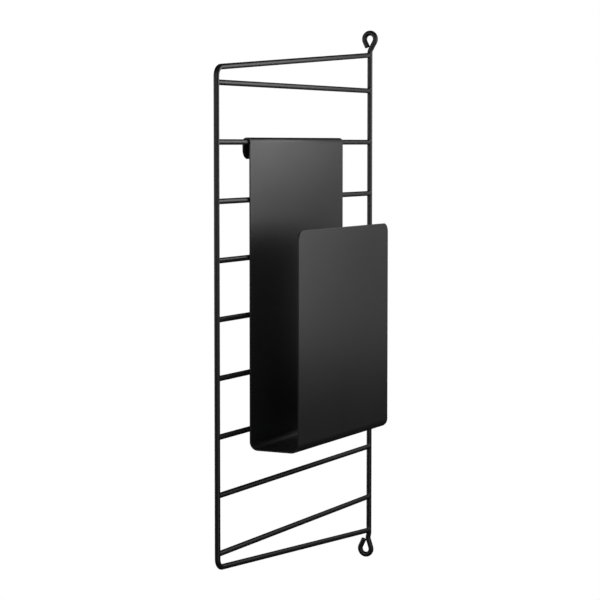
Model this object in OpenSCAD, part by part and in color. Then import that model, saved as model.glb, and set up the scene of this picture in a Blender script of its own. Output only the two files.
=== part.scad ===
// Wall-hung magazine rack: a welded wire panel with a folded sheet pocket
// hooked over one of its rungs.
//
// Frame: +Z up, +X into the wall, +Y away from the pocket. The origin is the
// centre of the upper eyelet, where the upper wall screw passes through.

/* [Wire panel] */
// Distance from the front rod's axis to the wall rod's axis
panel_depth = 295; // [240:1:360]
// Height between the two sloped bars, measured on the wall rod's axis
wall_h = 451; // [430:1:560]
// Height between the two sloped bars, measured on the front rod's axis
front_h = 408.6; // [402:0.2:420]
// Centre-line radius of the bends where the front rod turns into the bars
corner_bend_r = 8; // [6:0.5:9]

/* [Wires] */
// Diameter of the wall rod
wall_wire_d = 4.8; // [4.8:0.1:6]
// Diameter of the front rod and of the sloped bars bent from it
frame_wire_d = 4.7; // [4.4:0.1:4.7]
// Diameter of the rungs
rung_wire_d = 4.6; // [4:0.1:4.6]

/* [Rungs] */
// Number of rungs
rung_count = 9; // [5:1:9]
// Distance from one rung to the next
rung_pitch = 48.15; // [40:0.05:48.5]
// How far the rungs sit below the even spacing about the panel's mid height
rung_drop = 0.5; // [0:0.1:1]

/* [Eyelets] */
// Centre-line radius of the eyelets' round ends
eye_bend_r = 5.6; // [4.8:0.1:7]
// Centre-line radius of the small bends at an eyelet's neck
neck_bend_r = 5; // [4:0.5:6]
// Straight wire between a bar's weld and the first bend of an eyelet
neck_clear = 0.2; // [0.1:0.1:3]
// Gap between the cut end of an eyelet's wire and the wire it returns to
eye_gap = 0.2; // [0.1:0.1:1]
// Angle at which the upper eyelet's wire leaves its neck
upper_leave_angle = 30; // [24:1:36]
// Angle at which the upper eyelet's wire returns to its neck
upper_return_angle = 26; // [20:1:32]
// Angle at which the lower eyelet's wire leaves its neck
lower_leave_angle = 18; // [14:1:24]
// Angle at which the lower eyelet's wire returns to its neck
lower_return_angle = 26; // [20:1:32]
// Sideways offset of the lower eyelet's centre from the wall rod's axis
lower_eye_offset = 3.3; // [2.5:0.1:4]
// Sideways lean of the lower eyelet's neck
lower_neck_lean = 1; // [0.5:0.1:1.5]
// Height of the leaning part of the lower eyelet's neck
lower_neck_h = 3.9; // [3.5:0.1:8]

/* [Magazine pocket] */
// Rung that the pocket hangs on, counted from the top
hang_rung = 2; // [1:1:3]
// Distance from the front rod's axis to the pocket's near edge
pocket_inset = 50.5; // [10:0.5:60]
// Width of the pocket
pocket_w = 178; // [120:1:215]
// Depth of the pocket, outside to outside
pocket_depth = 46.5; // [30:0.5:90]
// Height of the pocket from its underside to the top of its hook
pocket_h = 261.9; // [200:0.1:320]
// Height of the front plate above the pocket's underside
front_plate_h = 185.2; // [80:0.2:190]
// Thickness of the sheet
sheet_t = 1.2; // [1:0.1:2]
// Outer radius of the two bends at the floor
floor_bend_r = 7.5; // [4:0.5:10]
// Radius of the front plate's top corners
front_corner_r = 8; // [2:0.5:20]

/* [Hook] */
// Clearance between the hook and the rung, all round
hang_clear = 0.3; // [0.3:0.1:1]
// How far the tongue hangs below the rung's axis
tongue_drop = 14.2; // [10:0.2:20]
// Radius of the tongue's lower corners
tongue_corner_r = 8; // [2:0.5:9]

/* [Hidden] */
$fn = 96;

coat = [0.055, 0.055, 0.06];
cut_margin = 1;

// A wire is a hair thicker round a bend than along a straight, and each
// straight runs this far into the bends beside it
bend_swell = 0.02;
bend_bite = 0.2;

wall_wire_r = wall_wire_d / 2;
frame_wire_r = frame_wire_d / 2;
rung_wire_r = rung_wire_d / 2;

// Heights are counted from the upper weld, where the top bar meets the wall
// rod, until from_upper_weld() moves the origin to the upper eyelet's centre.
mid_z = -wall_h / 2;

// Sloped bars, which rise and fall away from the panel's mid height
bar_slope = atan((wall_h - front_h) / 2 / panel_depth);
bar_half_h = frame_wire_r / cos(bar_slope);
bar_length = norm([panel_depth, (wall_h - front_h) / 2]);

// Upper eyelet
upper_neck_z = bar_half_h + neck_clear + setback(neck_bend_r, upper_leave_angle);
upper_eye_z = upper_neck_z + leg_rise(upper_leave_angle, 0);

// Lower eyelet, which hangs from a neck that leans
lean_angle = atan(lower_neck_lean / lower_neck_h);
lower_neck_turn = lean_angle + lower_leave_angle;
lean_drop = wall_h / 2 + bar_half_h + neck_clear;

// Pocket, whose hook bends round the axis of the rung it hangs on
hook_r = rung_wire_r + hang_clear + sheet_t / 2;
floor_r = floor_bend_r - sheet_t / 2;
hang_z = rung_z(hang_rung);
underside_z = hang_z + hook_r + sheet_t / 2 - pocket_h;
back_h = hang_z - underside_z - floor_bend_r;
floor_w = pocket_depth - 2 * floor_bend_r;
front_y = -hook_r + sheet_t - pocket_depth;
pocket_mid_x = -panel_depth + pocket_inset + pocket_w / 2;

// Height of a rung's axis, counted from the top
function rung_z(i) = mid_z - rung_drop + ((rung_count + 1) / 2 - i) * rung_pitch;

// Length that a bend takes off each of the straights it joins
function setback(r, angle) = r * tan(angle / 2);

// Length of the leg from the corner at an eyelet's neck to the round end. The
// leg leaves the neck at an angle and meets the round end at a tangent. offset
// is how far the eyelet's centre lies from the neck towards the leg's side.
function leg_length(angle, offset) = (offset + eye_bend_r * cos(angle)) / sin(angle);

// Distance along the rod from the corner at the neck to the eyelet's centre
function leg_rise(angle, offset) =
    leg_length(angle, offset) * cos(angle) + eye_bend_r * sin(angle);

// Length of the returning leg, cut square where it is a gap short of the
// leaving leg. spread is the angle between the two legs.
function tail_length(spread) =
    ((eye_bend_r - wall_wire_r) * (1 + cos(spread)) - eye_gap) / sin(spread);

// Runs a section along straights and bends, one step after another, from the
// origin along +X. A step is [straight length, bend radius, bend angle], with
// the angle positive to the left. The first child is the section along the
// straights and the second is the one round the bends, both drawn with their x
// axis across the route.
module formed(steps, bite, i = 0) {
    step = steps[i];
    from = i > 0 ? -bite : 0;
    to = step[0] + (step[2] != 0 ? bite : 0);
    translate([from, 0, 0])
        rotate([90, 0, 90])
            linear_extrude(to - from)
                children(0);
    if (step[2] != 0)
        translate([step[0], 0, 0])
            mirror([0, step[2] < 0 ? 1 : 0, 0]) {
                left_bend(step[1], abs(step[2]))
                    children(1);
                if (i + 1 < len(steps))
                    translate(after_left_bend(step[1], abs(step[2])))
                        rotate([0, 0, abs(step[2])])
                            mirror([0, step[2] < 0 ? 1 : 0, 0])
                                formed(steps, bite, i + 1) {
                                    children(0);
                                    children(1);
                                }
            }
}

// A bend to the left from the origin, entered along +X
module left_bend(r, angle) {
    translate([0, r, 0])
        rotate([0, 0, -90])
            rotate_extrude(angle = angle)
                translate([r, 0])
                    children();
}

function after_left_bend(r, angle) = [r * sin(angle), r * (1 - cos(angle)), 0];

// A wire run along straights and bends
module bent_wire(steps, d) {
    formed(steps, bend_bite) {
        circle(d = d);
        circle(d = d + bend_swell);
    }
}

// Stands a route up so that it starts upwards, with its left towards -Y
module up_then_forward() {
    rotate([0, -90, 180])
        children();
}

// Hangs a route down so that it starts downwards, with its left towards +Y
module down_then_back() {
    rotate([0, 90, 0])
        children();
}

// Stands a route up so that it starts upwards, with its left towards the wall
module up_then_to_wall() {
    rotate([-90, -90, 0])
        children();
}

// Moves a part drawn from the upper weld to its place in the frame
module from_upper_weld() {
    translate([0, 0, -upper_eye_z])
        children();
}

// The space of an upright rod, which the wires welded to it are coped to
module upright(x, d) {
    translate([x, 0, mid_z])
        cylinder(d = d, h = wall_h + 2 * d, center = true);
}

// The upright rod at the wall, with an eyelet bent at each end
module wall_rod() {
    upper_steps = [
        [bar_half_h + neck_clear - mid_z, neck_bend_r, upper_leave_angle],
        [
            leg_length(upper_leave_angle, 0) - setback(neck_bend_r, upper_leave_angle),
            eye_bend_r,
            -(180 + upper_leave_angle + upper_return_angle)
        ],
        [tail_length(upper_leave_angle + upper_return_angle), 0, 0]
    ];
    lower_steps = [
        [lean_drop, neck_bend_r, lean_angle],
        [
            norm([lower_neck_h, lower_neck_lean]) - setback(neck_bend_r, lean_angle)
                - setback(neck_bend_r, lower_neck_turn),
            neck_bend_r,
            -lower_neck_turn
        ],
        [
            leg_length(lower_leave_angle, lower_neck_lean - lower_eye_offset)
                - setback(neck_bend_r, lower_neck_turn),
            eye_bend_r,
            180 + lower_leave_angle + lower_return_angle
        ],
        [tail_length(lower_leave_angle + lower_return_angle), 0, 0]
    ];
    color(coat)
        from_upper_weld()
            translate([0, 0, mid_z]) {
                up_then_forward()
                    bent_wire(upper_steps, wall_wire_d);
                down_then_back()
                    bent_wire(lower_steps, wall_wire_d);
            }
}

// The front rod, bent at both ends into the bars that run to the wall rod
module front_rod() {
    corner_angle = 90 - bar_slope;
    corner_setback = setback(corner_bend_r, corner_angle);
    half_steps = [
        [front_h / 2 - corner_setback, corner_bend_r, corner_angle],
        [bar_length - corner_setback, 0, 0]
    ];
    color(coat)
        from_upper_weld()
            difference() {
                translate([-panel_depth, 0, mid_z])
                    for (half = [0, 1])
                        mirror([0, 0, half])
                            up_then_to_wall()
                                bent_wire(half_steps, frame_wire_d);
                upright(0, wall_wire_d);
            }
}

// A rung, coped at both ends to the rods it is welded to
module rung(i) {
    color(coat)
        from_upper_weld()
            difference() {
                translate([-panel_depth, 0, rung_z(i)])
                    rotate([0, 90, 0])
                        cylinder(d = rung_wire_d, h = panel_depth);
                upright(0, wall_wire_d);
                upright(-panel_depth, frame_wire_d);
            }
}

// What is cut from a square corner of a sheet to round it. The corner is at
// the origin and the sheet fills the quadrant of positive x and y.
module corner_waste(r) {
    difference() {
        translate([-cut_margin, -cut_margin])
            square(r + cut_margin);
        translate([r, r])
            circle(r = r);
    }
}

// Cuts to round both corners at the free edge of an upright plate, which runs
// down from a top edge (side 1) or up from a bottom edge (side 0)
module edge_waste(plate_y, edge_z, side, r) {
    for (hand = [0, 1])
        translate([pocket_mid_x, plate_y, edge_z])
            mirror([hand, 0, 0])
                mirror([0, 0, side])
                    translate([-pocket_w / 2, 0, 0])
                        rotate([90, 0, 0])
                            linear_extrude(sheet_t + 2 * cut_margin, center = true)
                                corner_waste(r);
}

// The pocket, one sheet folded into tongue, hook, back, floor and front
module magazine_pocket() {
    steps = [
        [tongue_drop, hook_r, 180],
        [back_h, floor_r, -90],
        [floor_w, floor_r, -90],
        [front_plate_h - floor_bend_r, 0, 0]
    ];
    color(coat)
        from_upper_weld()
            difference() {
                translate([pocket_mid_x, hook_r, hang_z - tongue_drop])
                    up_then_forward()
                        formed(steps, 0) {
                            square([sheet_t, pocket_w], center = true);
                            square([sheet_t, pocket_w], center = true);
                        }
                edge_waste(front_y, underside_z + front_plate_h, 1, front_corner_r);
                edge_waste(hook_r, hang_z - tongue_drop, 0, tongue_corner_r);
            }
}

wall_rod();
front_rod();
for (i = [1 : rung_count])
    rung(i);
magazine_pocket();
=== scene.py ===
"""Looks of a wall-hung magazine rack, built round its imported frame.

The rack is a welded wire panel that hangs upright on two wall screws, with a
folded sheet pocket hooked over its second rung. Everything is in metres in the
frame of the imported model: +Z up, +X into the wall, +Y away from the pocket,
and the origin at the centre of the upper eyelet.
"""

from __future__ import annotations

import logging
import math
from collections.abc import Iterable, Mapping
from dataclasses import dataclass
from enum import Enum

import bmesh
import bpy
from mathutils import Matrix, Vector


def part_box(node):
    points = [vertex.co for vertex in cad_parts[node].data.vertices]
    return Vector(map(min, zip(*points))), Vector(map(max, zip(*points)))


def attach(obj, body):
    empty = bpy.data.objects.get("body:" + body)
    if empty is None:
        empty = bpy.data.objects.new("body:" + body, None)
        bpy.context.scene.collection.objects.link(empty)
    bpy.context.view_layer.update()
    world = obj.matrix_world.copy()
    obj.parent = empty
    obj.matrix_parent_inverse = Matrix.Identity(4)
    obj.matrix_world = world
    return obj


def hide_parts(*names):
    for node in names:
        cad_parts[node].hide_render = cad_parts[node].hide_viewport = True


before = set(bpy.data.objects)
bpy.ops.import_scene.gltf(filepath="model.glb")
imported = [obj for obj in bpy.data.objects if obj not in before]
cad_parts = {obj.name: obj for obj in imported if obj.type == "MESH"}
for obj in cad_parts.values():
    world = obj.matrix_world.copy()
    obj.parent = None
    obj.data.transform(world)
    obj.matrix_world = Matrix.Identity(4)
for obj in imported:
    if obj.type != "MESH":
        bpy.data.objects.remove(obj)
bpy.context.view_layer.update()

LOG = logging.getLogger("magazine_rack")

MM = 0.001
X_AXIS = Vector((1, 0, 0))
Y_AXIS = Vector((0, 1, 0))
Z_AXIS = Vector((0, 0, 1))

# Face layer marking the rounded edges that get a painted sheen: a lighter grey that stands in for
# light caught along them.
EDGE_SHEEN_LAYER = "edge_sheen"
COAT_BLACK = (0.022, 0.022, 0.023)
RIM_SEGMENTS = 3
CORNER_SEGMENTS = 16
MERGE_DISTANCE = 0.001 * MM
MATCH_DISTANCE = 0.01 * MM


class Body(Enum):
    """The rack's two bodies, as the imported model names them."""

    PANEL = "panel"
    POCKET = "pocket"


class CoatSlot(Enum):
    """The finishes that a scene may repaint."""

    PANEL = "panel_coat"
    POCKET = "pocket_coat"


class Signal:
    """A node's output, on which Python's operators add Math nodes."""

    def __init__(self, graph: NodeGraph, socket: bpy.types.NodeSocket) -> None:
        """Wraps one output socket of a graph."""
        self.graph = graph
        self.socket = socket

    def _math(self, operation: str, first: Value, second: Value) -> Signal:
        """Adds a Math node and returns its result."""
        settings = {"operation": operation}
        return self.graph.add("ShaderNodeMath", settings, {0: first, 1: second})

    def __add__(self, other: Value) -> Signal:
        """Returns self + other."""
        return self._math("ADD", self, other)

    def __radd__(self, other: Value) -> Signal:
        """Returns other + self."""
        return self._math("ADD", other, self)

    def __sub__(self, other: Value) -> Signal:
        """Returns self - other."""
        return self._math("SUBTRACT", self, other)

    def __rsub__(self, other: Value) -> Signal:
        """Returns other - self."""
        return self._math("SUBTRACT", other, self)

    def __mul__(self, other: Value) -> Signal:
        """Returns self * other."""
        return self._math("MULTIPLY", self, other)

    def __rmul__(self, other: Value) -> Signal:
        """Returns other * self."""
        return self._math("MULTIPLY", other, self)


Value = Signal | float | tuple


class NodeGraph:
    """The nodes of one material or world, cleared before they are added."""

    def __init__(self, tree: bpy.types.NodeTree) -> None:
        """Empties a node tree to start a new graph in it."""
        self.tree = tree
        self.tree.nodes.clear()

    def add(
        self,
        kind: str,
        settings: Mapping[str, object] | None = None,
        sockets: Mapping[str | int, Value] | None = None,
        output: str | int = 0,
    ) -> Signal:
        """Adds a node, sets it up and feeds it.

        Args:
            kind: The node's type, such as "ShaderNodeTexNoise".
            settings: The node's own properties, set before its sockets.
            sockets: A value or a signal for each input socket, by name or by
                number.
            output: The output socket to return, by name or by number.

        Returns:
            The chosen output. A node with no outputs gives its first input.
        """
        node = self.tree.nodes.new(kind)
        for key, value in (settings or {}).items():
            setattr(node, key, value)
        for key, value in (sockets or {}).items():
            if isinstance(value, Signal):
                self.tree.links.new(value.socket, node.inputs[key])
            else:
                node.inputs[key].default_value = value
        return Signal(self, node.outputs[output] if node.outputs else node.inputs[0])


@dataclass(frozen=True)
class PowderCoat:
    """A matt, finely textured powder coat, baked on steel, with a sheen painted on its rounded
    edges.

    Attributes:
        name: The material's name.
        colour: The coat's colour.
        roughness: Its mean roughness.
        grain: Width of the texture's grains.
        grain_height: Height of the grains.
        speck: Width of the specks in its tone.
        peel: Width of the shallow waves that the grains lie on.
        peel_height: Height of those waves, as a multiple of the grains'.
        cloud: Width of the slow clouds in its tone.
        drift: Share by which colour and roughness drift over the piece.
        uneven: Spread of roughness from grain to grain.
        edge_sheen: Grey level of the sheen painted along the rounded edges, a painted highlight.
        edge_sheen_strength: How far the painted sheen goes in the lightest specks.
        polish: How much smoother the coat is along those edges.
        ior: Its index of refraction.
    """

    name: str
    colour: tuple[float, float, float]
    roughness: float = 0.34
    grain: float = 0.55 * MM
    grain_height: float = 0.006 * MM
    speck: float = 1.6 * MM
    peel: float = 3.2 * MM
    peel_height: float = 1.5
    cloud: float = 45 * MM
    drift: float = 0.10
    uneven: float = 0.12
    # Painted highlight: the edges get a lighter grey than the coat, and the coat is smoother there
    # as well.
    edge_sheen: float = 0.035
    edge_sheen_strength: float = 1.6
    polish: float = 0.04
    ior: float = 1.5

    MEAN = 0.5
    OCTAVE_FADE = 0.55

    def material(self) -> bpy.types.Material:
        """Builds the material and returns it."""
        material = bpy.data.materials.new(self.name)
        material.use_nodes = True
        graph = NodeGraph(material.node_tree)
        place = graph.add("ShaderNodeTexCoord", output="Object")
        # Mask of the rounded edges that get the painted sheen.
        edge_sheen = graph.add("ShaderNodeAttribute", {"attribute_name": EDGE_SHEEN_LAYER}, output="Fac")
        clouds = self._noise(graph, place, self.cloud, 3)
        specks = self._noise(graph, place, self.speck, 2)
        fine = self._noise(graph, place, self.grain, 3)
        peel = self._noise(graph, place, self.peel, 1)
        drifted = (clouds - self.MEAN) * (2 * self.drift)
        shade = 1 + drifted + (specks - self.MEAN) * self.drift
        tinted = graph.add(
            "ShaderNodeVectorMath",
            {"operation": "SCALE"},
            {0: self.colour, "Scale": shade},
        )
        # Painted sheen: the rounded edges are painted a lighter grey, strongest in the lightest
        # specks, standing in for light caught on them.
        sheen_mask = edge_sheen * specks * self.edge_sheen_strength
        coloured = graph.add(
            "ShaderNodeMix",
            {"data_type": "RGBA", "clamp_factor": True},
            {0: sheen_mask, 6: tinted, 7: (self.edge_sheen, self.edge_sheen, self.edge_sheen, 1.0)},
            output=2,
        )
        roughness = self.roughness + (clouds - self.MEAN) * self.drift
        roughness = roughness + (fine - self.MEAN) * self.uneven - edge_sheen * self.polish
        relief = fine + peel * self.peel_height
        normal = graph.add(
            "ShaderNodeBump",
            sockets={"Strength": 1.0, "Distance": self.grain_height, "Height": relief},
        )
        shader = graph.add(
            "ShaderNodeBsdfPrincipled",
            sockets={
                "Base Color": coloured,
                "Roughness": roughness,
                "IOR": self.ior,
                "Normal": normal,
            },
        )
        graph.add("ShaderNodeOutputMaterial", sockets={"Surface": shader})
        return material

    def _noise(self, graph: NodeGraph, place: Signal, size: float, detail: float) -> Signal:
        """Adds a noise texture.

        Args:
            graph: The graph to add it to.
            place: The coordinates it reads.
            size: Width of its features.
            detail: Number of finer octaves.

        Returns:
            Its grey level, from 0 to 1.
        """
        sockets = {
            "Vector": place,
            "Scale": 1 / size,
            "Detail": detail,
            "Roughness": self.OCTAVE_FADE,
        }
        return graph.add("ShaderNodeTexNoise", {"normalize": True}, sockets)


def round_edges(
    bm: bmesh.types.BMesh,
    edges: Iterable[bmesh.types.BMEdge],
    radius: float,
    segments: int,
    painted_sheen: bool = False,
) -> None:
    """Rounds edges of a mesh.

    Args:
        bm: The mesh.
        edges: The edges to round.
        radius: The rounding's radius, for edges that are square.
        segments: Number of facets round each edge.
        painted_sheen: Whether the rounding gets the painted edge sheen.
    """
    made = bmesh.ops.bevel(
        bm,
        geom=list(edges),
        offset=radius,
        offset_type="OFFSET",
        segments=segments,
        profile=0.5,
        affect="EDGES",
        material=-1,
    )
    # Marks the rounding's faces for the painted edge sheen.
    if painted_sheen:
        edge_sheen = bm.faces.layers.float[EDGE_SHEEN_LAYER]
        for face in made["faces"]:
            face[edge_sheen] = 1.0


@dataclass(frozen=True)
class Step:
    """One row of a bend table: a straight, then a bend.

    Attributes:
        straight: Length of the straight.
        radius: Centre-line radius of the bend, or 0 for none.
        angle: The bend's angle in degrees, positive to the left.
    """

    straight: float
    radius: float = 0.0
    angle: float = 0.0

    @staticmethod
    def setback(radius: float, angle: float) -> float:
        """Returns the length that a bend takes off each straight it joins."""
        return radius * math.tan(math.radians(angle) / 2)


@dataclass
class Route:
    """A cross-section that travels along straights and round bends.

    Attributes:
        bm: The mesh it leaves behind.
        ring: The section's edges where it stands now.
        point: The centre of the section.
        heading: The way it travels.
        hinge: The axis that a bend to the left turns about.
        bend_step: The largest angle between two rings of a bend, in degrees.
    """

    bm: bmesh.types.BMesh
    ring: list[bmesh.types.BMEdge]
    point: Vector
    heading: Vector
    hinge: Vector
    bend_step: float = 5.0

    LEAD = 0.3 * MM

    @property
    def left(self) -> Vector:
        """The direction to the left of the way it travels."""
        return self.hinge.cross(self.heading)

    def ring_verts(self) -> list[bmesh.types.BMVert]:
        """Returns the section's vertices, in a fixed order."""
        return sorted({v for edge in self.ring for v in edge.verts}, key=lambda v: v.index)

    def grow(self) -> list[bmesh.types.BMVert]:
        """Extrudes the section where it stands and returns its new vertices."""
        grown = bmesh.ops.extrude_edge_only(self.bm, edges=self.ring)["geom"]
        verts = [item for item in grown if isinstance(item, bmesh.types.BMVert)]
        fresh = set(verts)
        edges = [item for item in grown if isinstance(item, bmesh.types.BMEdge)]
        self.ring = [edge for edge in edges if fresh.issuperset(edge.verts)]
        self.bm.verts.index_update()
        return verts

    def straight(self, length: float, leads: tuple[bool, bool] = (False, False)) -> None:
        """Runs the section straight on.

        Args:
            length: The distance to run.
            leads: Whether a bend comes before and after the straight. Beside a
                bend the straight gets a ring of its own, to stay flat in gloss.
        """
        before, after = (self.LEAD if lead and length > 3 * self.LEAD else 0 for lead in leads)
        for part in (before, length - before - after, after):
            if part:
                bmesh.ops.translate(self.bm, verts=self.grow(), vec=self.heading * part)
        self.point = self.point + self.heading * length

    def bend(self, radius: float, angle: float) -> None:
        """Runs the section round a bend.

        Args:
            radius: Radius of the bend at the section's centre.
            angle: The angle in degrees, positive to the left.
        """
        centre = self.point + self.left * math.copysign(radius, angle)
        turn = math.radians(angle)
        spun = bmesh.ops.spin(
            self.bm,
            geom=self.ring_verts() + self.ring,
            cent=centre,
            axis=self.hinge,
            dvec=(0, 0, 0),
            angle=turn,
            steps=max(2, math.ceil(abs(angle) / self.bend_step)),
            use_merge=False,
            use_duplicate=False,
        )
        self.ring = [g for g in spun["geom_last"] if isinstance(g, bmesh.types.BMEdge)]
        self.bm.verts.index_update()
        turned = Matrix.Rotation(turn, 3, self.hinge)
        self.point = centre + turned @ (self.point - centre)
        self.heading = turned @ self.heading

    def follow(self, steps: Iterable[Step]) -> None:
        """Runs the section through a bend table.

        Args:
            steps: The table's rows.
        """
        bent = False
        for step in steps:
            self.straight(step.straight, (bent, bool(step.angle)))
            bent = bool(step.angle)
            if bent:
                self.bend(step.radius, step.angle)

    def cap(self, rounding: float = 0.0) -> None:
        """Closes the section's end, with its rim rounded if it shows.

        Args:
            rounding: Radius of the rim, or 0 to leave it sharp.
        """
        bmesh.ops.contextual_create(self.bm, geom=self.ring)
        if rounding:
            # The rim's rounding gets the painted edge sheen.
            round_edges(self.bm, self.ring, rounding, RIM_SEGMENTS, painted_sheen=True)


@dataclass(frozen=True)
class WeldFillet:
    """The fillet of weld metal where a wire's end meets an upright rod.

    Attributes:
        size: Radius of the fillet above and below the wire.
        rod_radius: Radius of the rod.
        sink: How far the wire's end is set into the rod.
        rings: Number of rings round the fillet.
    """

    size: float
    rod_radius: float
    sink: float = 0.6 * MM
    rings: int = 6

    def draw(self, route: Route, weld: Vector, wire_radius: float) -> None:
        """Flares the wire on to the rod and closes its end inside it.

        Args:
            route: The wire, standing short of the fillet and heading for it.
            weld: The point where the wire's axis meets the rod's.
            wire_radius: Radius of the wire.
        """
        spread = 1.0
        for i in range(self.rings + 1):
            turn = math.radians(90 * i / self.rings)
            wider = 1 + self.size * (1 - math.cos(turn)) / wire_radius
            self._lay(route, weld, wider / spread, self.size * (1 - math.sin(turn)))
            spread = wider
        self._lay(route, weld, 1 / spread, -self.sink)
        route.cap()

    def _lay(self, route: Route, weld: Vector, stretch: float, stand_off: float) -> None:
        """Lays one more ring, wrapped round the rod.

        Args:
            route: The wire.
            weld: The point where the wire's axis meets the rod's.
            stretch: How much taller the ring is than the last one.
            stand_off: Distance from the rod's surface.
        """
        heading, rise = route.heading, route.left
        lean = math.copysign(1.0, heading.x) * rise.x
        for vert in route.grow():
            offset = vert.co - weld
            across = offset.dot(route.hinge)
            height = offset.dot(rise) * stretch
            face = math.sqrt(self.rod_radius**2 - across**2)
            reach = (face + height * lean) / abs(heading.x) + stand_off
            vert.co = weld + route.hinge * across + rise * height - heading * reach
        route.point = weld


@dataclass
class Part:
    """A finished piece of the rack and where it goes in the scene.

    Attributes:
        name: The piece's name.
        body: The body it rides on.
        slot: The slot for its finish; not used.
        material: Its material.
        nodes: The frame's nodes that it stands for.
    """

    name: str
    body: Body
    slot: CoatSlot
    material: bpy.types.Material
    nodes: tuple[str, ...]

    SHARP_ANGLE = 35.0
    PLATE_AREA = 1000 * MM**2

    def new_mesh(self) -> bmesh.types.BMesh:
        """Starts the piece's mesh, with a layer marking the edges that get a painted sheen."""
        bm = bmesh.new()
        bm.faces.layers.float.new(EDGE_SHEEN_LAYER)
        return bm

    def publish(self, bm: bmesh.types.BMesh) -> bpy.types.Object:
        """Turns a finished mesh into the piece.

        Large plates are shaded flat, and the rest smooth up to a sharp edge.

        Args:
            bm: The mesh, which is freed.

        Returns:
            The piece, riding on its body.
        """
        bmesh.ops.remove_doubles(bm, verts=bm.verts, dist=MERGE_DISTANCE)
        bmesh.ops.recalc_face_normals(bm, faces=bm.faces)
        mesh = bpy.data.meshes.new(self.name)
        bm.to_mesh(mesh)
        bm.free()
        mesh.set_sharp_from_angle(angle=math.radians(self.SHARP_ANGLE))
        curved = [polygon.area < self.PLATE_AREA for polygon in mesh.polygons]
        mesh.polygons.foreach_set("use_smooth", curved)
        mesh.materials.append(self.material)
        piece = bpy.data.objects.new(self.name, mesh)
        bpy.context.scene.collection.objects.link(piece)
        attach(piece, self.body.value)
        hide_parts(*self.nodes)
        LOG.info("%s: %d faces, rides on %s", self.name, len(mesh.polygons), self.body.value)
        return piece


Start = tuple[bmesh.types.BMesh, list[bmesh.types.BMEdge]]


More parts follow.
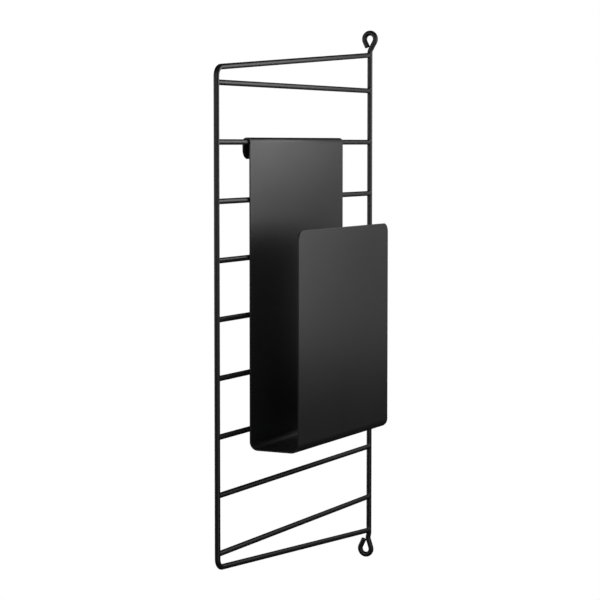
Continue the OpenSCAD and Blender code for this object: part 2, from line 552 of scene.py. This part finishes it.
@dataclass
class WirePanel:
    """The welded panel: a wall rod with eyelets, a front rod and the rungs.

    Attributes:
        finish: The panel's coat.
        wall_radius: Radius of the wall rod.
        frame_radius: Radius of the front rod and of the bars bent from it.
        rung_radius: Radius of the rungs.
        wall_half: Half the height between the bars' axes, at the wall rod.
        front_half: Half the height between the bars' axes, at the front rod.
        corner_bend: Centre-line radius of the front rod's bends.
        eye_bend: Centre-line radius of the eyelets' round ends.
        neck_bend: Centre-line radius of the bends at an eyelet's neck.
        neck_clear: Straight wire between a bar's weld and an eyelet's bend.
        eye_gap: Gap between an eyelet's cut end and the wire it returns to.
        upper_leave: Angle at which the upper eyelet leaves its neck.
        upper_return: Angle at which the upper eyelet returns to its neck.
        lower_leave: Angle at which the lower eyelet leaves its neck.
        lower_return: Angle at which the lower eyelet returns to its neck.
        lower_offset: Sideways offset of the lower eyelet's centre.
        neck_lean: Sideways lean of the lower neck.
        neck_height: Height of the leaning part of the lower neck.
        cut_rim: Rounding of the cut ends' rims.
        wall_fillet: Size of the welds on the wall rod.
        front_fillet: Size of the welds on the front rod.
        weld_run: Length of wire between the last plain ring and a weld.
        sides: Number of sides of a wire's section.
    """

    finish: PowderCoat
    wall_radius: float = 2.4 * MM
    frame_radius: float = 2.35 * MM
    rung_radius: float = 2.3 * MM
    wall_half: float = 225.5 * MM
    front_half: float = 204.3 * MM
    corner_bend: float = 8 * MM
    eye_bend: float = 5.6 * MM
    neck_bend: float = 5 * MM
    neck_clear: float = 0.2 * MM
    eye_gap: float = 0.2 * MM
    upper_leave: float = 30.0
    upper_return: float = 26.0
    lower_leave: float = 18.0
    lower_return: float = 26.0
    lower_offset: float = 3.3 * MM
    neck_lean: float = 1 * MM
    neck_height: float = 3.9 * MM
    cut_rim: float = 0.35 * MM
    wall_fillet: float = 1.3 * MM
    front_fillet: float = 0.7 * MM
    weld_run: float = 1.5 * MM
    sides: int = 40

    def __post_init__(self) -> None:
        """Reads the panel's places off the frame's nodes."""
        front_low, front_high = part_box("front_rod")
        self.front_x = front_low.x + self.frame_radius
        self.mid_z = (front_low.z + front_high.z) / 2
        rungs = [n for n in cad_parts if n.startswith("rung_")]
        self.rungs = sorted(rungs, key=lambda n: int(n.rpartition("_")[2]))
        self.material = self.finish.material()

    @property
    def bar_slope(self) -> float:
        """Slope of the two bars, in radians."""
        return math.atan((self.wall_half - self.front_half) / -self.front_x)

    def build(self) -> None:
        """Builds and dresses every wire."""
        self.wall_rod()
        self.front_rod()
        for node in self.rungs:
            self.rung(node)

    def _part(self, name: str, node: str) -> Part:
        """Returns the piece that a wire becomes."""
        return Part(name, Body.PANEL, CoatSlot.PANEL, self.material, (node,))

    def _start(self, part: Part, radius: float, centre: Vector, along: Vector) -> Start:
        """Draws the first ring of a wire at its middle.

        Args:
            part: The piece to start.
            radius: The wire's radius.
            centre: The ring's centre.
            along: The way the wire runs through it.

        Returns:
            The new mesh and the ring's edges.
        """
        bm = part.new_mesh()
        turned = along.to_track_quat("Z", "Y").to_matrix().to_4x4()
        bmesh.ops.create_circle(
            bm,
            cap_ends=False,
            segments=self.sides,
            radius=radius,
            matrix=Matrix.Translation(centre) @ turned,
        )
        bm.verts.index_update()
        return bm, list(bm.edges)

    def wall_rod(self) -> None:
        """Builds the wall rod, with an eyelet bent at each end."""
        part = self._part("wall_rod_wire", "wall_rod")
        middle = Vector((0, 0, self.mid_z))
        bm, ring = self._start(part, self.wall_radius, middle, Z_AXIS)
        for heading, hinge, steps in (
            (Z_AXIS, X_AXIS, self._upper_eyelet()),
            (-Z_AXIS, X_AXIS, self._lower_eyelet()),
        ):
            route = Route(bm, ring, middle, heading, hinge)
            route.follow(steps)
            route.cap(self.cut_rim)
        part.publish(bm)

    def _leg(self, angle: float, offset: float) -> float:
        """Returns the length of an eyelet's leg from its neck's corner."""
        turn = math.radians(angle)
        return (offset + self.eye_bend * math.cos(turn)) / math.sin(turn)

    def _tail(self, spread: float) -> float:
        """Returns the length of an eyelet's returning leg."""
        turn = math.radians(spread)
        room = (self.eye_bend - self.wall_radius) * (1 + math.cos(turn))
        return (room - self.eye_gap) / math.sin(turn)

    def _neck_start(self) -> float:
        """Returns the height from the panel's middle to an eyelet's neck."""
        return self.wall_half + self.frame_radius / math.cos(self.bar_slope) + self.neck_clear

    def _upper_eyelet(self) -> list[Step]:
        """Returns the bend table from the panel's middle to the upper end."""
        leave, back = self.upper_leave, self.upper_return
        leg = self._leg(leave, 0) - Step.setback(self.neck_bend, leave)
        return [
            Step(self._neck_start(), self.neck_bend, leave),
            Step(leg, self.eye_bend, -(180 + leave + back)),
            Step(self._tail(leave + back)),
        ]

    def _lower_eyelet(self) -> list[Step]:
        """Returns the bend table from the panel's middle to the lower end."""
        leave, back = self.lower_leave, self.lower_return
        lean = math.degrees(math.atan(self.neck_lean / self.neck_height))
        turn = lean + leave
        neck = math.hypot(self.neck_height, self.neck_lean)
        leg = self._leg(leave, self.neck_lean - self.lower_offset)
        return [
            Step(self._neck_start(), self.neck_bend, lean),
            Step(
                neck - Step.setback(self.neck_bend, lean) - Step.setback(self.neck_bend, turn),
                self.neck_bend,
                -turn,
            ),
            Step(leg - Step.setback(self.neck_bend, turn), self.eye_bend, 180 + leave + back),
            Step(self._tail(leave + back)),
        ]

    def front_rod(self) -> None:
        """Builds the front rod and the two bars bent from it."""
        part = self._part("front_rod_wire", "front_rod")
        middle = Vector((self.front_x, 0, self.mid_z))
        bm, ring = self._start(part, self.frame_radius, middle, Z_AXIS)
        fillet = WeldFillet(self.wall_fillet, self.wall_radius)
        slope = self.bar_slope
        corner = 90 - math.degrees(slope)
        setback = Step.setback(self.corner_bend, corner)
        depth = -self.front_x
        short = self.wall_radius + self.wall_fillet + self.weld_run
        for side in (1, -1):
            route = Route(bm, ring, middle, Z_AXIS * side, Y_AXIS * side)
            route.follow(
                [
                    Step(self.front_half - setback, self.corner_bend, corner),
                    Step(depth / math.cos(slope) - setback - short),
                ]
            )
            weld = Vector((0, 0, self.mid_z + side * self.wall_half))
            fillet.draw(route, weld, self.frame_radius)
        part.publish(bm)

    def rung(self, node: str) -> None:
        """Builds a rung with its two welds.

        Args:
            node: The frame's node that the rung stands for.
        """
        part = self._part(f"{node}_wire", node)
        low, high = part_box(node)
        height = (low.z + high.z) / 2
        middle = Vector((self.front_x / 2, 0, height))
        bm, ring = self._start(part, self.rung_radius, middle, X_AXIS)
        for end_x, rod_radius, size in (
            (0.0, self.wall_radius, self.wall_fillet),
            (self.front_x, self.frame_radius, self.front_fillet),
        ):
            weld = Vector((end_x, 0, height))
            heading = (weld - middle).normalized()
            route = Route(bm, ring, middle, heading, Y_AXIS)
            short = rod_radius + size + self.weld_run
            route.straight((weld - middle).length - short)
            WeldFillet(size, rod_radius).draw(route, weld, self.rung_radius)
        part.publish(bm)


@dataclass
class MagazinePocket:
    """The pocket, one sheet folded into tongue, hook, back, floor and front.

    Attributes:
        finish: The pocket's coat.
        sheet: Thickness of the sheet.
        hook_clear: Clearance between the hook and the rung.
        floor_bend: Outer radius of the two bends at the floor.
        tongue_drop: How far the tongue hangs below the rung's axis.
        tongue_corner: Radius of the tongue's lower corners.
        front_corner: Radius of the front plate's top corners.
        front_height: Height of the front plate above the underside.
        cut_edge: Rounding of the sheet's cut edges under the coat.
        rung: The rung that the pocket hangs on.
        rung_radius: Radius of that rung.
    """

    finish: PowderCoat
    sheet: float = 1.2 * MM
    hook_clear: float = 0.3 * MM
    floor_bend: float = 7.5 * MM
    tongue_drop: float = 14.2 * MM
    tongue_corner: float = 8 * MM
    front_corner: float = 8 * MM
    front_height: float = 185.2 * MM
    cut_edge: float = 0.28 * MM
    rung: str = "rung_2"
    rung_radius: float = 2.3 * MM

    SQUARE = 60.0

    def build(self) -> None:
        """Folds the sheet, rounds its corners and dresses it."""
        part = Part(
            "magazine_pocket_sheet",
            Body.POCKET,
            CoatSlot.POCKET,
            self.finish.material(),
            ("magazine_pocket",),
        )
        low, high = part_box("magazine_pocket")
        rung_low, rung_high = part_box(self.rung)
        hang_z = (rung_low.z + rung_high.z) / 2
        hook = self.rung_radius + self.hook_clear + self.sheet / 2
        fold = self.floor_bend - self.sheet / 2
        bm = part.new_mesh()
        start = Vector(((low.x + high.x) / 2, hook, hang_z - self.tongue_drop))
        bmesh.ops.create_grid(
            bm,
            x_segments=1,
            y_segments=1,
            size=0.5,
            matrix=Matrix.Translation(start) @ Matrix.Diagonal((high.x - low.x, self.sheet, 1, 1)),
        )
        bm.verts.index_update()
        route = Route(bm, list(bm.edges), start, Z_AXIS, X_AXIS)
        back = hang_z - low.z - self.floor_bend
        floor = high.y - low.y - 2 * (hook + self.sheet / 2) + self.sheet - 2 * self.floor_bend
        route.follow(
            [
                Step(self.tongue_drop, hook, 180),
                Step(back, fold, -90),
                Step(floor, fold, -90),
                Step(self.front_height - self.floor_bend),
            ]
        )
        route.cap()
        self._round_corners(bm, hang_z - self.tongue_drop, self.tongue_corner)
        self._round_corners(bm, low.z + self.front_height, self.front_corner)
        bm.normal_update()
        square = math.radians(self.SQUARE)
        arrises = [edge for edge in bm.edges if edge.calc_face_angle(0.0) > square]
        # The rounded cut edges get the painted sheen.
        round_edges(bm, arrises, self.cut_edge, RIM_SEGMENTS, painted_sheen=True)
        part.publish(bm)

    @staticmethod
    def _round_corners(bm: bmesh.types.BMesh, height: float, radius: float) -> None:
        """Rounds the two corners of a plate's free edge.

        Args:
            bm: The folded sheet.
            height: Height of the free edge.
            radius: Radius of the corners.
        """
        corners = [
            edge
            for edge in bm.edges
            if all(abs(vert.co.z - height) < MATCH_DISTANCE for vert in edge.verts)
            and abs(edge.verts[0].co.x - edge.verts[1].co.x) < MATCH_DISTANCE
        ]
        round_edges(bm, corners, radius, CORNER_SEGMENTS)


@dataclass(frozen=True)
class Softbox:
    """A square soft light that faces the middle of the rack.

    Attributes:
        name: The light's name.
        bearing: Direction it stands in, in degrees from +X towards +Y.
        elevation: How high it stands, in degrees.
        distance: Its distance from the point it faces.
        size: Its width and height.
        power: Its power, in watts.
        aim: The point it faces.
    """

    name: str
    bearing: float
    elevation: float
    distance: float
    size: float
    power: float
    aim: tuple[float, float, float] = (-0.15, -0.02, -0.24)

    def hang(self) -> None:
        """Puts the light in the scene, where the camera doesn't see it."""
        data = bpy.data.lights.new(self.name, "AREA")
        data.shape = "SQUARE"
        data.size = self.size
        data.energy = self.power
        light = bpy.data.objects.new(self.name, data)
        bearing, elevation = math.radians(self.bearing), math.radians(self.elevation)
        level = math.cos(elevation)
        away = Vector(
            (level * math.cos(bearing), level * math.sin(bearing), math.sin(elevation))
        )
        light.location = Vector(self.aim) + away * self.distance
        light.rotation_euler = away.to_track_quat("Z", "Y").to_euler()
        light.visible_camera = False
        bpy.context.scene.collection.objects.link(light)


@dataclass
class Studio:
    """A pale studio: floor, white surroundings, soft lights and camera.

    Attributes:
        floor_z: Height of the floor.
        floor_size: Width of the floor.
        surround: Grey level that the rack sees around it.
        lens: The camera's focal length, in millimetres.
        sensor: Width of its sensor, in millimetres.
        camera_place: Where the camera stands.
        heading: The way it faces, in degrees from +X towards +Y.
        pitch: How far it looks down, in degrees.
        shift: Its vertical shift, as a share of the picture.
    """

    floor_z: float = -1.0
    floor_size: float = 60.0
    surround: float = 0.014
    lens: float = 116.81
    sensor: float = 36.0
    camera_place: tuple[float, float, float] = (-1.6707, -0.7717, -0.0978)
    heading: float = 26.84
    pitch: float = 3.72
    shift: float = -0.05

    def build(self) -> None:
        """Sets up the whole studio."""
        self._view()
        self._surroundings()
        self._floor()
        for softbox in self._softboxes():
            softbox.hang()
        self._camera()

    @staticmethod
    def _view() -> None:
        """Shows light as it is, with no film curve."""
        settings = bpy.context.scene.view_settings
        settings.view_transform = "Standard"
        settings.look = "None"

    @staticmethod
    def _softboxes() -> list[Softbox]:
        """Returns the studio's lights."""
        return [
            Softbox("key_softbox", 300, 10, 0.4, 0.3, 0.4),
            Softbox("upper_softbox", 315, 35, 0.4, 0.3, 0.5),
            Softbox("gloss_softbox", 340, 10, 0.7, 0.5, 0.2),
            Softbox("left_softbox", 210, 20, 0.8, 0.6, 0.8),
            Softbox("front_softbox", 240, -15, 0.8, 0.6, 0.6),
            Softbox("edge_softbox", 150, 15, 1.0, 0.6, 1.4),
            Softbox("rear_softbox", 80, 0, 0.7, 0.6, 1.8),
        ]

    def _surroundings(self) -> None:
        """Makes the surroundings white to look at and dim in the gloss."""
        world = bpy.data.worlds.new("studio_world")
        world.use_nodes = True
        bpy.context.scene.world = world
        graph = NodeGraph(world.node_tree)
        seen = graph.add("ShaderNodeLightPath", output="Is Camera Ray")
        level = self.surround + seen * (1 - self.surround)
        shader = graph.add(
            "ShaderNodeBackground",
            sockets={"Color": (1.0, 1.0, 1.0, 1.0), "Strength": level},
        )
        graph.add("ShaderNodeOutputWorld", sockets={"Surface": shader})

    def _floor(self) -> None:
        """Lays a pale floor that takes no part in the rack's gloss."""
        bm = bmesh.new()
        bmesh.ops.create_grid(
            bm,
            x_segments=1,
            y_segments=1,
            size=self.floor_size / 2,
            matrix=Matrix.Translation((0, 0, self.floor_z)),
        )
        mesh = bpy.data.meshes.new("studio_floor")
        bm.to_mesh(mesh)
        bm.free()
        material = bpy.data.materials.new("pale_floor")
        material.use_nodes = True
        graph = NodeGraph(material.node_tree)
        shader = graph.add(
            "ShaderNodeEmission",
            sockets={"Color": (1.0, 1.0, 1.0, 1.0), "Strength": 1.0},
        )
        graph.add("ShaderNodeOutputMaterial", sockets={"Surface": shader})
        mesh.materials.append(material)
        floor = bpy.data.objects.new("studio_floor", mesh)
        floor.visible_diffuse = False
        floor.visible_glossy = False
        bpy.context.scene.collection.objects.link(floor)

    def _camera(self) -> None:
        """Sets up the camera."""
        data = bpy.data.cameras.new("studio_camera")
        data.sensor_width = self.sensor
        data.lens = self.lens
        data.shift_y = self.shift
        camera = bpy.data.objects.new("studio_camera", data)
        camera.location = self.camera_place
        camera.rotation_euler = (
            math.radians(90 - self.pitch),
            0.0,
            math.radians(self.heading - 90),
        )
        bpy.context.scene.collection.objects.link(camera)
        bpy.context.scene.camera = camera


def main() -> None:
    """Builds the studio and the rack."""
    logging.basicConfig(level=logging.INFO, format="%(message)s")
    Studio().build()
    WirePanel(PowderCoat("panel_powder_coat", COAT_BLACK)).build()
    MagazinePocket(PowderCoat("pocket_powder_coat", COAT_BLACK)).build()


if __name__ == "__main__":
    main()
